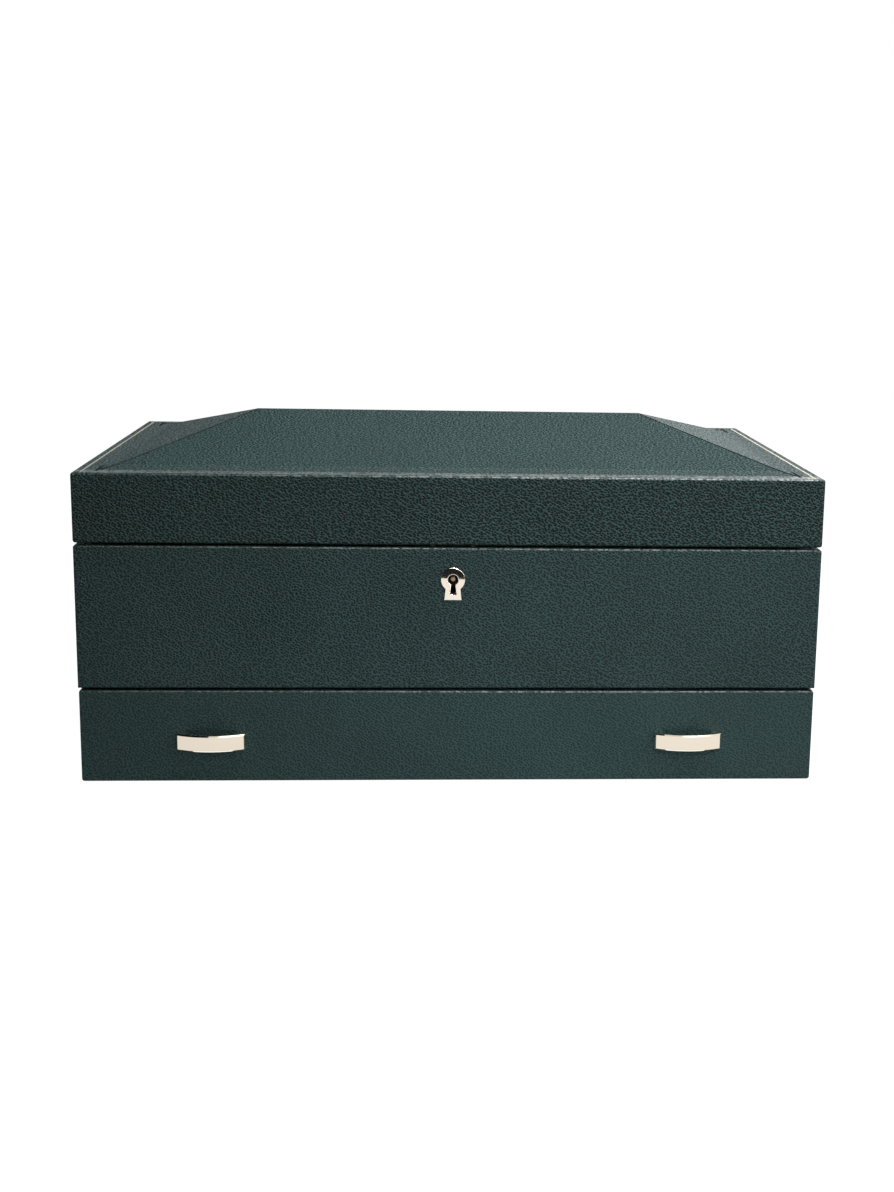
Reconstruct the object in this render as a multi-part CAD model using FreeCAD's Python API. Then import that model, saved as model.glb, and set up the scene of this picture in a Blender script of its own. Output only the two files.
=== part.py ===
import FreeCAD, Part
import math
import os
from FreeCAD import Vector

# Watch box with a hinged hip-roofed lid and a full-width drawer under the watch bay.
# Lengths are in millimetres. X runs to the right, Y to the back and Z up from the table.

# Outside of the box
box_width = 330.0
box_depth = 216.0
felt_thickness = 1.0
drawer_front_height = 42.0
front_panel_height = 64.1
lid_wall_height = 30.7
seam_gap = 1.0             # dark line between drawer, case and lid

# Hip roof of the lid
roof_rise = 18.3
rim_margin = 10.0          # flat border round the roof
ridge_length = 188.0
roof_foot = 5.0            # width of the soft foot at each end of the roof
roof_foot_ease = 0.5       # how steep the foot is against the slope above it

# Boards and their leather
leather_thickness = 1.0
board_thickness = 9.0
lid_board_thickness = 7.4
roof_board_thickness = 7.0
leather_edge_radius = 1.2
base_thickness = 6.0
shelf_thickness = 6.0
felt_inset = 2.0

# Gilt line on the rim of the lid
gilt_inset = 3.4
gilt_width = 1.0
gilt_depth = 0.25
gilt_recess = 0.3

# Linings
liner_thickness = 2.5
liner_lip = 5.0            # how far the liner stands up into the lid
liner_corner_gap = 0.05
pad_thickness = 1.5
lid_pad_thickness = 3.0
lid_lining_thickness = 0.8
lining_setback = 0.5
soft_gap = 0.3             # clearance round pads and cushions

# Watch bay
cell_columns = 6
cell_rows = 2
divider_thickness = 2.5
divider_drop = 5.1         # from the rim of the case down to the dividers
lap_clearance = 0.05
cushion_height = 46.0
cushion_side_gap = 0.6
cushion_finger_room = 11.0
cushion_corner_radius = 19.0

# Drawer
drawer_end_inset = 0.3
drawer_board_thickness = 8.7
drawer_side_thickness = 7.0
drawer_side_gap = 0.8
drawer_floor_gap = 0.5
drawer_head_gap = 1.5
drawer_rear_gap = 3.0
drawer_bottom_thickness = 3.0
drawer_bottom_rise = 2.5   # from the lower edge of the sides to the bottom board
drawer_bottom_groove = 3.0
drawer_compartments = 3
drawer_divider_height = 21.5
runner_height = 5.0
runner_grip = 2.7          # how far the runner reaches into the drawer side
runner_clearance = 0.3
runner_setback = 6.0
stop_setback = 27.7        # from the mouth of the bay to the drawer stop
stop_length = 8.0
stop_width = 40.0
stop_height = 5.0

# Bowed pulls
pull_inset = 58.0          # from the end of the drawer front to the middle of a pull
pull_rise = 19.2           # from the lower edge of the drawer front to the middle of a pull
pull_length = 30.0
pull_height = 7.3
pull_projection = 7.2
pull_bow = 3.8
pull_thickness = 3.0
pull_foot = 3.5
pull_edge_chamfer = 0.5
pull_screw_radius = 1.0
pull_screw_grip = 2.4
pull_screw_head_radius = 1.9
pull_screw_head_height = 1.2

# Small countersunk screws of the hinges and the lock
screw_radius = 1.0
screw_head_radius = 1.8
screw_length = 5.0

# Stop hinges at the back
hinge_inset = 62.0         # from the end of the box to the middle of a hinge
leaf_length = 40.0
leaf_thickness = 1.2
leaf_setback = 0.4
leaf_mortise_gap = 0.1
leaf_screw_inset = 7.0
knuckle_count = 5
knuckle_gap = 0.15
barrel_radius = 2.0
barrel_clearance = 0.3
hinge_pin_radius = 1.0
hinge_pin_clearance = 0.05
hinge_pin_head_radius = 1.6
hinge_pin_head_height = 0.8
lid_opening_degrees = 95.0
heel_clearance = 0.15
heel_height = 0.9
heel_drop = 0.3

# Box lock in the front panel
lock_half_width = 18.4
lock_below_keyhole = 12.6
lock_depth = 6.6
lock_plate_thickness = 0.8
lock_pocket_gap = 0.1
lock_cap_thickness = 1.0
lock_cap_half_width = 24.0
lock_cap_margin = 2.5
lock_screw_inset = 2.8
selvedge_thickness = 1.0
selvedge_half_width = 24.0
lock_pin_radius = 1.0
lock_pin_setback = 1.0
bolt_travel = 4.5
bolt_gap = 0.3
bolt_bar_height = 2.6
bolt_arm_width = 2.0
bolt_arm_depth = 1.2
finger_height = 2.4
finger_drop = 5.9          # from the rim of the case down to the middle of the bolt's fingers
talon_width = 5.0
talon_depth = 1.0
talon_offset = 5.0
key_room = 1.6             # between the bolt and the drill pin

# Strike plate in the lid
strike_half_width = 17.0
strike_thickness = 1.0
strike_front_inset = 3.6
strike_screw_inset = 3.3
loop_spacing = 18.0
loop_thickness = 1.5
loop_depth = 3.4
loop_wall = 0.8
loop_window_gap = 0.4
loop_slot_gap = 0.5
loop_bar_gap = 0.8

# Keyhole plate
plate_head_radius = 5.35
plate_neck_half_width = 3.35
plate_foot_half_width = 3.85
plate_foot_drop = 9.2
plate_thickness = 1.0
plate_proud = 0.5
plate_edge_radius = 0.3
plate_inlay_gap = 0.1
keyhole_radius = 2.3
keyhole_neck_half_width = 0.9
keyhole_foot_half_width = 1.4
keyhole_foot_drop = 6.6
keyway_gap = 0.2

# Levels and planes that the pieces share
hinge_reach = 2 * barrel_radius + barrel_clearance
half_width = box_width / 2
half_span = (box_depth + pull_projection + hinge_reach) / 2
front_y = pull_projection - half_span
back_y = front_y + box_depth
middle_y = (front_y + back_y) / 2

drawer_bottom_z = felt_thickness
drawer_top_z = drawer_bottom_z + drawer_front_height
panel_bottom_z = drawer_top_z + seam_gap
rim_z = panel_bottom_z + front_panel_height
lid_bottom_z = rim_z + seam_gap
lid_rim_z = lid_bottom_z + lid_wall_height

wall = leather_thickness + board_thickness
lid_wall = leather_thickness + lid_board_thickness
case_board_top_z = rim_z - leather_thickness
lid_board_bottom_z = lid_bottom_z + leather_thickness
roof_board_bottom_z = lid_rim_z - leather_thickness - roof_board_thickness
lid_pad_bottom_z = roof_board_bottom_z - lid_pad_thickness

inner_half_width = half_width - wall
bay_front_y = front_y + wall
bay_back_y = back_y - wall
base_top_z = felt_thickness + base_thickness
shelf_top_z = panel_bottom_z + shelf_thickness
pad_top_z = shelf_top_z + pad_thickness
divider_top_z = rim_z - divider_drop

liner_inner_half_width = inner_half_width - liner_thickness
liner_front_y = bay_front_y + liner_thickness
liner_back_y = bay_back_y - liner_thickness
cell_width = (2 * liner_inner_half_width - (cell_columns - 1) * divider_thickness) / cell_columns
cell_depth = (liner_back_y - liner_front_y - (cell_rows - 1) * divider_thickness) / cell_rows

hinge_x = half_width - hinge_inset
hinge_y = back_y + barrel_radius + barrel_clearance
hinge_z = rim_z + seam_gap / 2
leaf_depth = lid_wall - leaf_setback

finger_z = rim_z - finger_drop
loop_bottom_z = finger_z - finger_height / 2 - loop_window_gap - loop_wall
bolt_bar_top_z = loop_bottom_z - loop_bar_gap
bolt_bar_bottom_z = bolt_bar_top_z - bolt_bar_height
keyhole_z = bolt_bar_bottom_z - key_room - lock_pin_radius
lock_bottom_z = keyhole_z - lock_below_keyhole
lock_front_y = bay_front_y - lock_depth
lock_cavity_front_y = lock_front_y + lock_plate_thickness
lock_cavity_back_y = bay_front_y - lock_cap_thickness
loop_y = (lock_cavity_front_y + lock_cavity_back_y) / 2

drawer_half_width = half_width - drawer_end_inset
drawer_rear_of_front_y = front_y + leather_thickness + drawer_board_thickness
drawer_box_half_width = inner_half_width - drawer_side_gap
drawer_inner_half_width = drawer_box_half_width - drawer_side_thickness
drawer_box_back_y = bay_back_y - drawer_rear_gap
drawer_back_face_y = drawer_box_back_y - drawer_side_thickness
drawer_side_bottom_z = base_top_z + drawer_floor_gap
drawer_side_top_z = panel_bottom_z - drawer_head_gap
drawer_board_bottom_z = drawer_side_bottom_z + drawer_bottom_rise
drawer_board_top_z = drawer_board_bottom_z + drawer_bottom_thickness
drawer_pad_top_z = drawer_board_top_z + pad_thickness
runner_z = (drawer_side_bottom_z + drawer_side_top_z) / 2
stop_back_y = bay_front_y + stop_setback + stop_length
drawer_travel = drawer_back_face_y - stop_back_y - runner_clearance

pull_x = half_width - pull_inset
pull_z = drawer_bottom_z + pull_rise

nodes = {}


def block(x0, x1, y0, y1, z0, z1):
    return Part.makeBox(x1 - x0, y1 - y0, z1 - z0, Vector(x0, y0, z0))


def prism(points, z0, z1):
    corners = [Vector(x, y, z0) for x, y in points]
    face = Part.Face(Part.makePolygon(corners + corners[:1]))
    return face.extrude(Vector(0, 0, z1 - z0))


def rod(radius, start, direction, length):
    return Part.makeCylinder(radius, length, start, direction)


def runs_along(edge, axis):
    box = edge.BoundBox
    spans = {"x": box.XLength, "y": box.YLength, "z": box.ZLength}
    return spans[axis] > 1 and all(spans[other] < 0.001 for other in spans if other != axis)


def close(a, b):
    return abs(a - b) < 0.001


def joined(shapes):
    result = shapes[0].fuse(shapes[1:]) if len(shapes) > 1 else shapes[0]
    return result.removeSplitter()


def mirrored(shape):
    return shape.mirror(Vector(0, 0, 0), Vector(1, 0, 0))


def on_both_sides(name, right_piece):
    nodes["right_" + name] = right_piece
    nodes["left_" + name] = mirrored(right_piece)


# The four outlines of a mitred frame, from its outer and inner half sizes
def mitred_frame(outer_x, outer_front, outer_back, inner_x, inner_front, inner_back, z0, z1):
    front = [(-outer_x, outer_front), (outer_x, outer_front), (inner_x, inner_front), (-inner_x, inner_front)]
    back = [(outer_x, outer_back), (-outer_x, outer_back), (-inner_x, inner_back), (inner_x, inner_back)]
    right = [(outer_x, outer_front), (outer_x, outer_back), (inner_x, inner_back), (inner_x, inner_front)]
    left = [(-x, y) for x, y in reversed(right)]
    return {name: prism(points, z0, z1)
            for name, points in (("front", front), ("back", back), ("right", right), ("left", left))}


# Solid hip roof with a ridge, standing on the rim, with a softer slope at its foot
def hip_roof(foot_z):
    base_x = half_width - rim_margin
    base_y = box_depth / 2 - rim_margin
    ridge_x = ridge_length / 2
    share = roof_foot / (base_x - ridge_x)
    foot_x = base_x - roof_foot
    foot_y = base_y * (1 - share)
    ease_z = foot_z + roof_rise * share * roof_foot_ease
    top_z = foot_z + roof_rise

    def ring(x, y, z):
        return [Vector(sx * x, middle_y + sy * y, z) for sx, sy in ((-1, -1), (1, -1), (1, 1), (-1, 1))]

    base = ring(base_x, base_y, foot_z)
    ease = ring(foot_x, foot_y, ease_z)
    left_end = Vector(-ridge_x, middle_y, top_z)
    right_end = Vector(ridge_x, middle_y, top_z)
    outlines = [base]
    for i in range(4):
        j = (i + 1) % 4
        outlines.append([base[i], base[j], ease[j], ease[i]])
    outlines.append([ease[0], ease[1], right_end, left_end])
    outlines.append([ease[1], ease[2], right_end])
    outlines.append([ease[2], ease[3], left_end, right_end])
    outlines.append([ease[3], ease[0], left_end])
    faces = [Part.Face(Part.makePolygon(points + points[:1])) for points in outlines]
    roof = Part.Solid(Part.makeShell(faces))
    if roof.Volume < 0:
        roof.reverse()
    return roof


# Outline shared by the keyhole plate, its inlay and the keyway: a round head on a flared foot
def keyhole_outline(head_radius, neck_half, foot_half, foot_drop, grow, y):
    radius = head_radius + grow
    neck = neck_half + grow
    foot = foot_half + grow
    neck_z = keyhole_z - math.sqrt(radius ** 2 - neck ** 2)
    foot_z = keyhole_z - foot_drop - grow
    left_neck = Vector(-neck, y, neck_z)
    right_neck = Vector(neck, y, neck_z)
    left_foot = Vector(-foot, y, foot_z)
    right_foot = Vector(foot, y, foot_z)
    head = Part.Arc(left_neck, Vector(0, y, keyhole_z + radius), right_neck).toShape()
    foot_edges = [Part.LineSegment(right_neck, right_foot).toShape(),
                  Part.LineSegment(right_foot, left_foot).toShape(),
                  Part.LineSegment(left_foot, left_neck).toShape()]
    return Part.Face(Part.Wire([head] + foot_edges))


def plate_prism(grow, y0, y1):
    outline = keyhole_outline(plate_head_radius, plate_neck_half_width, plate_foot_half_width,
                              plate_foot_drop, grow, y0)
    return outline.extrude(Vector(0, y1 - y0, 0))


def keyway_prism(grow, y0, y1):
    outline = keyhole_outline(keyhole_radius, keyhole_neck_half_width, keyhole_foot_half_width,
                              keyhole_foot_drop, grow, y0)
    return outline.extrude(Vector(0, y1 - y0, 0))


# Countersunk screw, its head flush at the given point; the bore that it fills has the same shape
def wood_screw(head_point, direction):
    head_height = screw_head_radius - screw_radius
    head = Part.makeCone(screw_head_radius, screw_radius, head_height, head_point, direction)
    shank = rod(screw_radius, head_point, direction, screw_length)
    return joined([head, shank])


def hinge_screw_points(side, z):
    spread = leaf_length / 2 - leaf_screw_inset
    y = back_y - leaf_depth / 2
    return [Vector(side * hinge_x + shift, y, z) for shift in (-spread, 0, spread)]


up = Vector(0, 0, 1)
down = Vector(0, 0, -1)
forward = Vector(0, -1, 0)
backward = Vector(0, 1, 0)

case_leaf_top_z = case_board_top_z + leaf_thickness
lid_leaf_bottom_z = lid_board_bottom_z - leaf_thickness
lock_screw_x = lock_cap_half_width - lock_screw_inset
lock_screw_z = (lock_bottom_z + case_board_top_z) / 2
strike_screw_x = strike_half_width - strike_screw_inset

case_screw_seats = []
lid_screw_seats = []
for side in (-1, 1):
    case_screw_seats += [(point, down) for point in hinge_screw_points(side, case_leaf_top_z)]
    lid_screw_seats += [(point, up) for point in hinge_screw_points(side, lid_leaf_bottom_z)]
    case_screw_seats.append((Vector(side * lock_screw_x, bay_front_y, lock_screw_z), forward))
    lid_screw_seats.append((Vector(side * strike_screw_x, loop_y, lid_board_bottom_z - strike_thickness), up))
case_screws = Part.makeCompound([wood_screw(point, way) for point, way in case_screw_seats])
lid_screws = Part.makeCompound([wood_screw(point, way) for point, way in lid_screw_seats])


# Room for one hinge leaf in the leather of the case or the lid
def leaf_mortises(z0, z1):
    reach = leaf_length / 2 + leaf_mortise_gap
    front = back_y - leaf_depth - leaf_mortise_gap
    return [block(side * hinge_x - reach, side * hinge_x + reach, front, back_y + barrel_clearance, z0, z1)
            for side in (-1, 1)]


def lock_pocket():
    side = lock_half_width + lock_pocket_gap
    body = block(-side, side, lock_front_y - lock_pocket_gap, bay_front_y,
                 lock_bottom_z - lock_pocket_gap, case_board_top_z)
    cap = block(-lock_cap_half_width, lock_cap_half_width, bay_front_y - lock_cap_thickness, bay_front_y,
                lock_bottom_z - lock_cap_margin, case_board_top_z)
    return body.fuse(cap)


def make_case_boards():
    side = block(inner_half_width, half_width - leather_thickness, bay_front_y, back_y - leather_thickness,
                 felt_thickness, case_board_top_z)
    mouth_edge = block(inner_half_width, half_width, bay_front_y, bay_front_y + leather_thickness,
                       felt_thickness, panel_bottom_z + leather_thickness)
    side = side.cut(mouth_edge)
    back = block(-inner_half_width, inner_half_width, bay_back_y, back_y - leather_thickness,
                 felt_thickness, case_board_top_z)
    board_half = half_width - leather_thickness
    front = block(-board_half, board_half, front_y + leather_thickness, bay_front_y,
                  panel_bottom_z + leather_thickness, case_board_top_z)
    on_both_sides("case_side", side)
    nodes["case_back_panel"] = back.cut(case_screws)
    keyway = keyway_prism(keyway_gap, front_y, bay_front_y)
    nodes["case_front_panel"] = front.cut([lock_pocket(), keyway, case_screws])
    nodes["case_base_board"] = block(-inner_half_width, inner_half_width, bay_front_y, bay_back_y,
                                     felt_thickness, base_top_z)
    nodes["case_shelf"] = block(-inner_half_width, inner_half_width, bay_front_y, bay_back_y,
                                panel_bottom_z, shelf_top_z)
    nodes["base_felt"] = block(-half_width + felt_inset, half_width - felt_inset,
                               bay_front_y + felt_inset, back_y - felt_inset, 0, felt_thickness)


# One leather cover over the front, the sides and the back, turned in over every edge
def make_case_leather():
    outside = block(-half_width, half_width, front_y, back_y, felt_thickness, rim_z)
    outside = outside.cut(block(-half_width, half_width, front_y, bay_front_y, felt_thickness, panel_bottom_z))

    def is_outer(edge):
        box = edge.BoundBox
        at_top = close(box.ZMin, rim_z) and close(box.ZMax, rim_z)
        upright = runs_along(edge, "z")
        under_front = runs_along(edge, "x") and close(box.YMin, front_y) and close(box.ZMin, panel_bottom_z)
        return at_top or upright or under_front

    outside = outside.makeFillet(leather_edge_radius, [edge for edge in outside.Edges if is_outer(edge)])
    room = block(-inner_half_width, inner_half_width, bay_front_y, bay_back_y, felt_thickness, rim_z)
    board_half = half_width - leather_thickness
    front_board = block(-board_half, board_half, front_y + leather_thickness, bay_front_y,
                        panel_bottom_z + leather_thickness, case_board_top_z)
    side_boards = block(-board_half, board_half, bay_front_y + leather_thickness, back_y - leather_thickness,
                        felt_thickness, case_board_top_z)
    behind_panel = block(-board_half, board_half, bay_front_y, back_y - leather_thickness,
                         panel_bottom_z + leather_thickness, case_board_top_z)
    selvedge_seat = block(-selvedge_half_width, selvedge_half_width, lock_front_y, bay_front_y,
                          case_board_top_z, rim_z)
    inlay = plate_prism(plate_inlay_gap, front_y, front_y + plate_thickness - plate_proud)
    keyway = keyway_prism(keyway_gap, front_y, bay_front_y)
    nodes["case_leather"] = outside.cut([room, front_board, side_boards, behind_panel, selvedge_seat, inlay,
                                         keyway] + leaf_mortises(case_board_top_z, rim_z))


def make_watch_bay():
    gap = liner_corner_gap
    top_z = rim_z + liner_lip
    long_front = block(-inner_half_width, inner_half_width, bay_front_y, liner_front_y, shelf_top_z, top_z)
    long_back = block(-inner_half_width, inner_half_width, liner_back_y, bay_back_y, shelf_top_z, top_z)
    right_end = block(liner_inner_half_width, inner_half_width, liner_front_y + gap, liner_back_y - gap,
                      shelf_top_z, top_z)
    nodes["bay_liner"] = Part.makeCompound([long_front, long_back, right_end, mirrored(right_end)])
    nodes["bay_floor_pad"] = block(-liner_inner_half_width, liner_inner_half_width, liner_front_y, liner_back_y,
                                   shelf_top_z, pad_top_z)

    column_step = cell_width + divider_thickness
    row_step = cell_depth + divider_thickness
    lap_z = (pad_top_z + divider_top_z) / 2
    cross_xs = [-liner_inner_half_width + column * column_step - divider_thickness / 2
                for column in range(1, cell_columns)]
    long_ys = [liner_front_y + row * row_step - divider_thickness / 2 for row in range(1, cell_rows)]
    half = divider_thickness / 2
    slot = half + lap_clearance
    cross_slots = [block(x - slot, x + slot, liner_front_y, liner_back_y, lap_z, divider_top_z)
                   for x in cross_xs]
    long_slots = [block(-liner_inner_half_width, liner_inner_half_width, y - slot, y + slot, pad_top_z,
                        lap_z + lap_clearance) for y in long_ys]
    long_boards = [block(-liner_inner_half_width, liner_inner_half_width, y - half, y + half, pad_top_z,
                         divider_top_z).cut(cross_slots) for y in long_ys]
    cross_boards = [block(x - half, x + half, liner_front_y, liner_back_y, pad_top_z,
                          divider_top_z).cut(long_slots) for x in cross_xs]
    nodes["bay_long_divider"] = Part.makeCompound(long_boards)
    nodes["bay_cross_dividers"] = Part.makeCompound(cross_boards)

    number = 1
    for row in range(cell_rows):
        for column in range(cell_columns):
            x = -liner_inner_half_width + column * column_step + cell_width / 2
            y = liner_front_y + row * row_step + cell_depth / 2
            nodes["watch_cushion_%02d" % number] = watch_cushion(x, y)
            number += 1


# Pillow that a watch strap goes round: an oval bolster lying across its cell
def watch_cushion(x, y):
    half_length = cell_width / 2 - cushion_side_gap
    half_depth = cell_depth / 2 - cushion_finger_room
    bottom_z = pad_top_z + soft_gap
    bolster = block(x - half_length, x + half_length, y - half_depth, y + half_depth,
                    bottom_z, bottom_z + cushion_height)
    long_edges = [edge for edge in bolster.Edges if runs_along(edge, "x")]
    return bolster.makeFillet(cushion_corner_radius, long_edges)


def make_drawer_slides():
    wall_x = inner_half_width
    reach = drawer_side_gap + runner_grip
    runner = block(wall_x - reach, wall_x, bay_front_y + runner_setback, bay_back_y,
                   runner_z - runner_height / 2, runner_z + runner_height / 2)
    on_both_sides("drawer_runner", runner)
    nodes["drawer_stop"] = block(-stop_width / 2, stop_width / 2, stop_back_y - stop_length, stop_back_y,
                                 panel_bottom_z - stop_height, panel_bottom_z)


def make_drawer():
    front_half = drawer_half_width - leather_thickness
    front = block(-front_half, front_half, front_y + leather_thickness, drawer_rear_of_front_y,
                  drawer_bottom_z + leather_thickness, drawer_top_z - leather_thickness)
    cover = block(-drawer_half_width, drawer_half_width, front_y, drawer_rear_of_front_y,
                  drawer_bottom_z, drawer_top_z)
    outer_edges = [edge for edge in cover.Edges if not close(edge.BoundBox.YMax, drawer_rear_of_front_y)
                   or runs_along(edge, "y")]
    cover = cover.makeFillet(leather_edge_radius, outer_edges).cut(front)
    screws = pull_screws()
    nodes["drawer_front"] = front.cut(screws)
    nodes["drawer_front_leather"] = cover.cut(screws)
    nodes["pull_screws"] = screws

    side = block(drawer_inner_half_width, drawer_box_half_width, drawer_rear_of_front_y, drawer_box_back_y,
                 drawer_side_bottom_z, drawer_side_top_z)
    bottom_half = drawer_inner_half_width + drawer_bottom_groove
    bottom = block(-bottom_half, bottom_half, drawer_rear_of_front_y, drawer_box_back_y,
                   drawer_board_bottom_z, drawer_board_top_z)
    groove_depth = runner_grip + runner_clearance
    groove_half = runner_height / 2 + runner_clearance
    groove = block(drawer_box_half_width - groove_depth, drawer_box_half_width,
                   bay_front_y + runner_setback - runner_clearance, drawer_box_back_y,
                   runner_z - groove_half, runner_z + groove_half)
    on_both_sides("drawer_side", side.cut([bottom, groove]))
    nodes["drawer_bottom"] = bottom
    nodes["drawer_back"] = block(-drawer_inner_half_width, drawer_inner_half_width,
                                 drawer_back_face_y, drawer_box_back_y, drawer_board_top_z, drawer_side_top_z)
    pad_half = drawer_inner_half_width - soft_gap
    pad_front_y = drawer_rear_of_front_y + soft_gap
    pad_back_y = drawer_back_face_y - soft_gap
    nodes["drawer_floor_pad"] = block(-pad_half, pad_half, pad_front_y, pad_back_y,
                                      drawer_board_top_z, drawer_pad_top_z)
    compartment = (2 * drawer_inner_half_width - (drawer_compartments - 1) * divider_thickness) \
        / drawer_compartments
    dividers = []
    for number in range(1, drawer_compartments):
        x = -drawer_inner_half_width + number * (compartment + divider_thickness) - divider_thickness
        dividers.append(block(x, x + divider_thickness, pad_front_y, pad_back_y, drawer_pad_top_z,
                              drawer_pad_top_z + drawer_divider_height))
    nodes["drawer_dividers"] = Part.makeCompound(dividers)


# Bowed bar on two feet, seen from above as two arcs about one centre
def make_pulls():
    half = pull_length / 2
    end_y = pull_projection - pull_bow
    radius = (half ** 2 + pull_bow ** 2) / (2 * pull_bow)
    centre_y = pull_projection - radius
    inner_half = half - pull_foot
    inner_radius = radius - pull_thickness
    inner_end_y = centre_y + math.sqrt(inner_radius ** 2 - inner_half ** 2)
    z = pull_z - pull_height / 2

    def at(x, y):
        return Vector(pull_x + x, front_y - y, z)

    quarter_y = centre_y + math.sqrt(radius ** 2 - (half / 2) ** 2)
    crown = at(0, pull_projection)
    outer = [Part.Arc(at(-half, end_y), at(-half / 2, quarter_y), crown).toShape(),
             Part.Arc(crown, at(half / 2, quarter_y), at(half, end_y)).toShape()]
    inner = Part.Arc(at(inner_half, inner_end_y), at(0, centre_y + inner_radius),
                     at(-inner_half, inner_end_y)).toShape()
    right_corners = [at(half, end_y), at(half, 0), at(inner_half, 0), at(inner_half, inner_end_y)]
    left_corners = [at(-inner_half, inner_end_y), at(-inner_half, 0), at(-half, 0), at(-half, end_y)]
    edges = list(outer)
    edges += [Part.LineSegment(a, b).toShape() for a, b in zip(right_corners, right_corners[1:])]
    edges.append(inner)
    edges += [Part.LineSegment(a, b).toShape() for a, b in zip(left_corners, left_corners[1:])]
    bar = Part.Face(Part.Wire(edges)).extrude(Vector(0, 0, pull_height))
    face_y = front_y - end_y
    outer_edges = [edge for edge in bar.Edges
                   if edge.BoundBox.YMax < face_y + 0.001]
    bar = bar.makeChamfer(pull_edge_chamfer, outer_edges)
    on_both_sides("pull", bar.cut(pull_screws()))


# Screws from inside the drawer front into the feet of the pulls
def pull_screws():
    screws = []
    head_y = drawer_rear_of_front_y
    shank_length = drawer_board_thickness + leather_thickness + pull_screw_grip
    foot_x = (pull_length - pull_foot) / 2
    for side in (-1, 1):
        for foot in (-1, 1):
            x = side * pull_x + foot * foot_x
            shank = rod(pull_screw_radius, Vector(x, head_y, pull_z), forward, shank_length)
            head = rod(pull_screw_head_radius, Vector(x, head_y, pull_z), forward, pull_screw_head_height)
            screws.append(joined([shank, head]))
    return Part.makeCompound(screws)


# One hinge leaf: a plate let into the edge of the board, with every second knuckle
def hinge_leaf(side, plate_z, first_knuckle, with_heel):
    centre = side * hinge_x
    start = centre - leaf_length / 2
    step = leaf_length / knuckle_count
    plate = block(start, start + leaf_length, back_y - leaf_depth, back_y, plate_z, plate_z + leaf_thickness)
    pieces = [plate]
    for number in range(first_knuckle, knuckle_count, 2):
        x0 = start + number * step + knuckle_gap / 2
        length = step - knuckle_gap
        pieces.append(rod(barrel_radius, Vector(x0, hinge_y, hinge_z), Vector(1, 0, 0), length))
        pieces.append(block(x0, x0 + length, back_y, hinge_y, plate_z, plate_z + leaf_thickness))
        if with_heel:
            reach = hinge_y - back_y - heel_clearance
            heel = block(x0, x0 + length, hinge_y - reach, hinge_y, hinge_z - heel_drop - heel_height,
                         hinge_z - heel_drop)
            heel.rotate(Vector(0, hinge_y, hinge_z), Vector(1, 0, 0), lid_opening_degrees)
            pieces.append(heel)
    bore = rod(hinge_pin_radius + hinge_pin_clearance, Vector(start, hinge_y, hinge_z), Vector(1, 0, 0),
               leaf_length)
    return joined(pieces).cut([bore, case_screws, lid_screws])


def make_hinges():
    pins = []
    for side, word in ((-1, "left"), (1, "right")):
        nodes[word + "_hinge_case_leaf"] = hinge_leaf(side, case_board_top_z, 0, False)
        nodes[word + "_hinge_lid_leaf"] = hinge_leaf(side, lid_leaf_bottom_z, 1, True)
        start = Vector(side * hinge_x - leaf_length / 2, hinge_y, hinge_z)
        end = start + Vector(leaf_length, 0, 0)
        along = Vector(1, 0, 0)
        shaft = rod(hinge_pin_radius, start, along, leaf_length)
        near_head = rod(hinge_pin_head_radius, start, along * -1, hinge_pin_head_height)
        far_head = rod(hinge_pin_head_radius, end, along, hinge_pin_head_height)
        pins.append(joined([shaft, near_head, far_head]))
    nodes["hinge_pins"] = Part.makeCompound(pins)


def make_lid():
    board_half = half_width - leather_thickness
    inner_half = half_width - lid_wall
    rails = mitred_frame(board_half, front_y + leather_thickness, back_y - leather_thickness,
                         inner_half, front_y + lid_wall, back_y - lid_wall,
                         lid_board_bottom_z, roof_board_bottom_z)
    for name, rail in rails.items():
        nodes["lid_" + name + "_rail"] = rail.cut(lid_screws)
    slab = block(-board_half, board_half, front_y + leather_thickness, back_y - leather_thickness,
                 roof_board_bottom_z, lid_rim_z - leather_thickness)
    roof_board = joined([slab, hip_roof(lid_rim_z - leather_thickness)])
    nodes["lid_roof_board"] = roof_board

    outside = block(-half_width, half_width, front_y, back_y, lid_bottom_z, lid_rim_z)
    outside = outside.makeFillet(leather_edge_radius, outside.Edges)
    outside = joined([outside, hip_roof(lid_rim_z)])
    wood = block(-board_half, board_half, front_y + leather_thickness, back_y - leather_thickness,
                 lid_board_bottom_z, roof_board_bottom_z)
    hollow = block(-inner_half, inner_half, front_y + lid_wall, back_y - lid_wall,
                   lid_bottom_z, lid_board_bottom_z)
    strike_seat = block(-strike_half_width, strike_half_width, front_y + strike_front_inset,
                        front_y + lid_wall, lid_bottom_z, lid_board_bottom_z)
    leather = outside.cut([wood, roof_board, hollow, strike_seat]
                          + leaf_mortises(lid_bottom_z, lid_board_bottom_z))
    groove = rim_line(gilt_recess)
    nodes["lid_leather"] = leather.cut(groove)
    nodes["lid_gilt_line"] = rim_line(gilt_recess).cut(rim_line(gilt_recess - gilt_depth))

    pad_half = inner_half - soft_gap
    nodes["lid_lining_pad"] = block(-pad_half, pad_half, front_y + lid_wall + soft_gap,
                                    back_y - lid_wall - soft_gap, lid_pad_bottom_z, roof_board_bottom_z)
    lining = mitred_frame(inner_half, front_y + lid_wall, back_y - lid_wall,
                          inner_half - lid_lining_thickness, front_y + lid_wall + lid_lining_thickness,
                          back_y - lid_wall - lid_lining_thickness,
                          lid_bottom_z + lining_setback, lid_pad_bottom_z)
    nodes["lid_side_lining"] = joined(list(lining.values()))


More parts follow.
